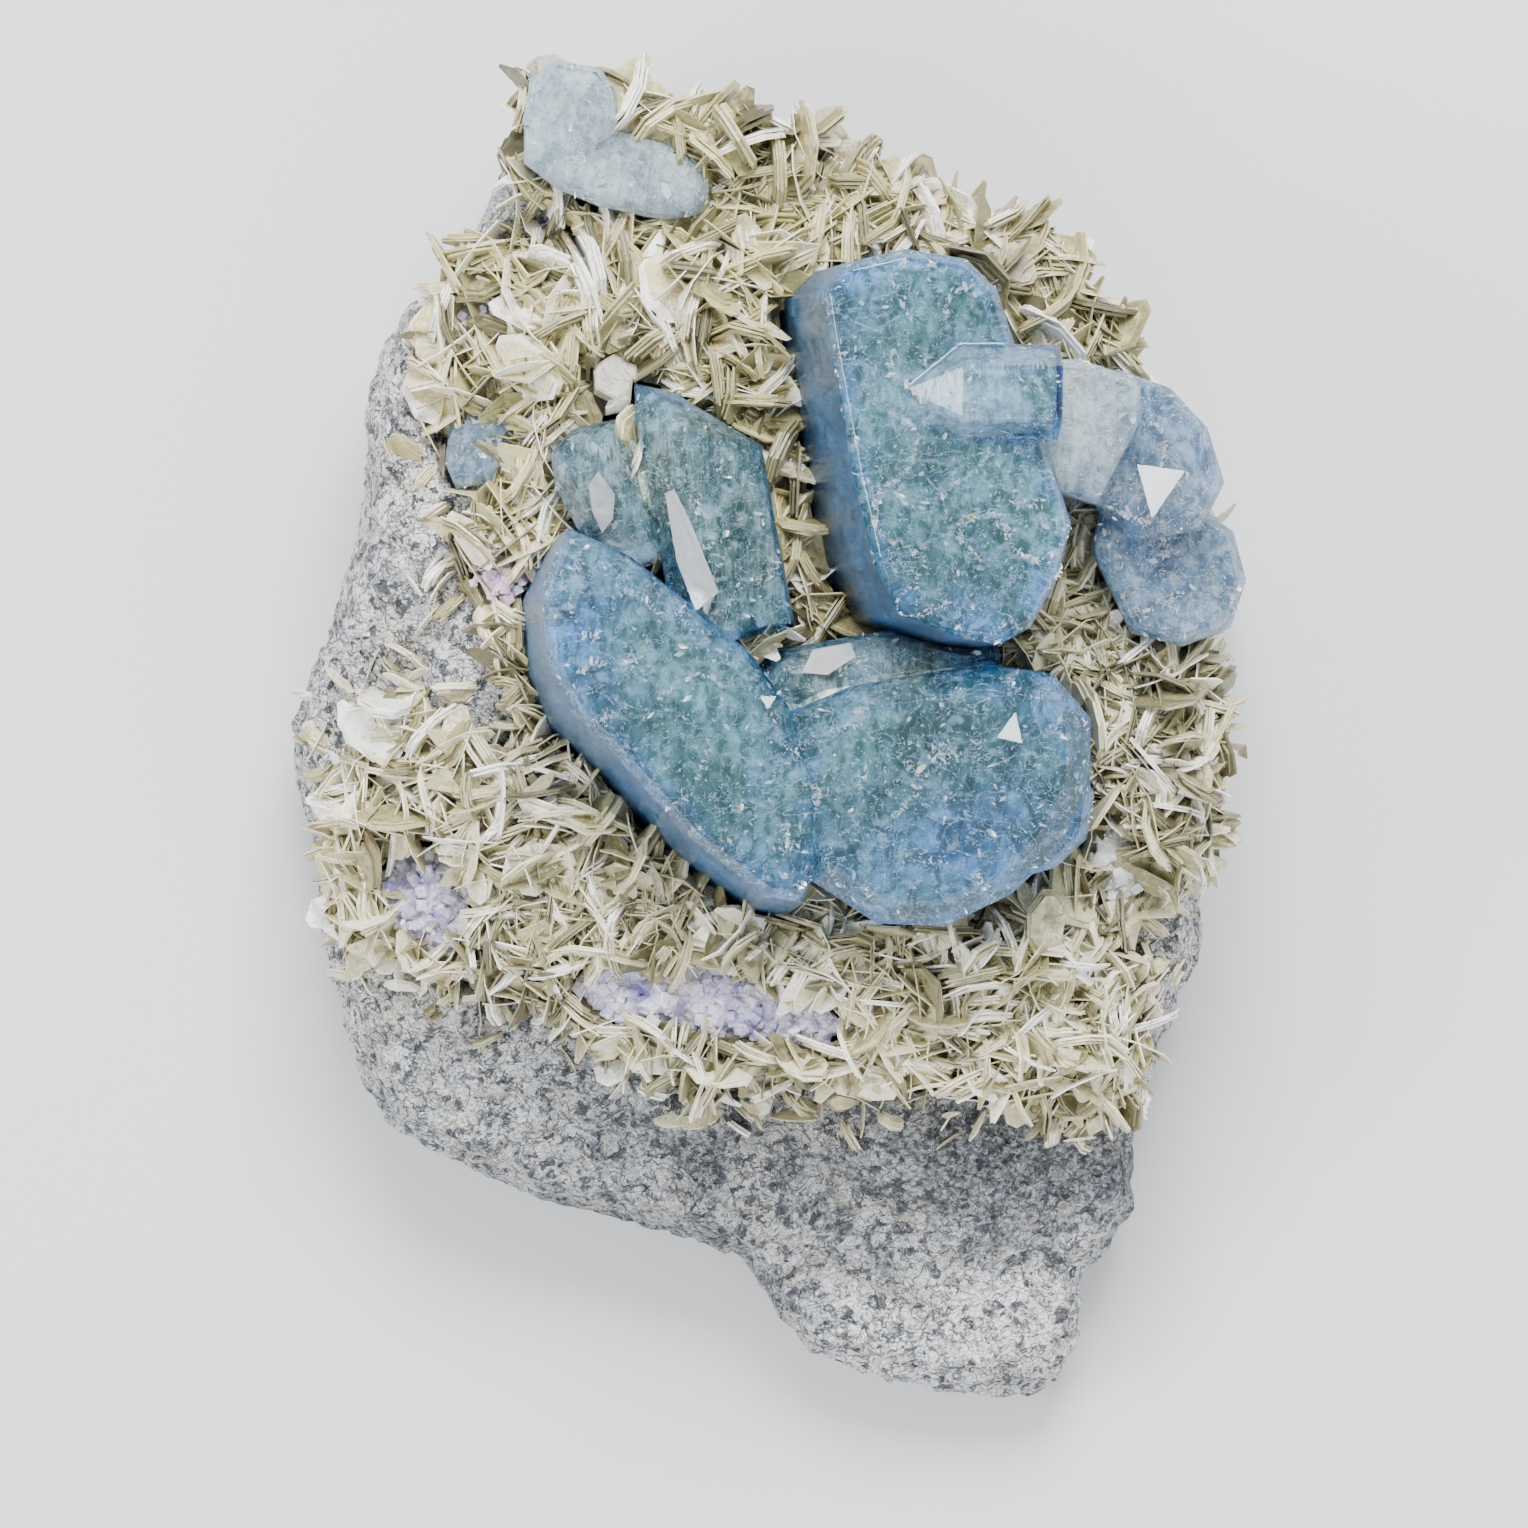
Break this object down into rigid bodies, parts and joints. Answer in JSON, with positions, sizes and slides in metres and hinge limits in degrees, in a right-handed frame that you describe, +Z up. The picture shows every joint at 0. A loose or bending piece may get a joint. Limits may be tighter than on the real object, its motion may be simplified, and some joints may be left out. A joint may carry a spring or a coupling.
{
  "type": "aquamarine specimen",
  "caption": "Cluster of blue translucent aquamarine crystals standing in a crust of muscovite blades on a block of white albite rock, for display lying on its flat base",
  "frame": {"origin": "middle of the bounding box in X and Y, on the flat base", "axes": "+Z up out of the crystal side, +Y along the specimen's length towards its narrow upper corner, +X to the right"},
  "size_m": [0.085, 0.1196, 0.0519],
  "materials": {
    "rock": "rough granular white and grey rock",
    "muscovite": "pearly pale olive mica blades",
    "aquamarine": "translucent blue crystal with many inclusions",
    "pale_aquamarine": "translucent pale blue crystal with many inclusions",
    "pale_mica": "silky pale six-sided mica",
    "purple_fluorite": "granular pale purple fluorite",
    "pink_fluorite": "granular pale pink fluorite",
    "albite": "small glassy white feldspar crystals"
  },
  "bodies": {
    "root": {"rock": "rock", "muscovite_upper": "muscovite", "muscovite_lower": "muscovite", "aquamarine_upper": "aquamarine", "aquamarine_lower": "aquamarine", "aquamarine_corner": "pale_aquamarine", "aquamarine_left": "pale_aquamarine", "pale_beryl_right": "pale_aquamarine", "pale_plate_upper": "pale_mica", "pale_plate_lower": "pale_mica", "purple_fluorite_bottom": "purple_fluorite", "purple_fluorite_left": "purple_fluorite", "purple_fluorite_shoulder": "purple_fluorite", "pink_fluorite": "pink_fluorite", "white_albite_crystals": "albite"}
  },
  "joints": []
}
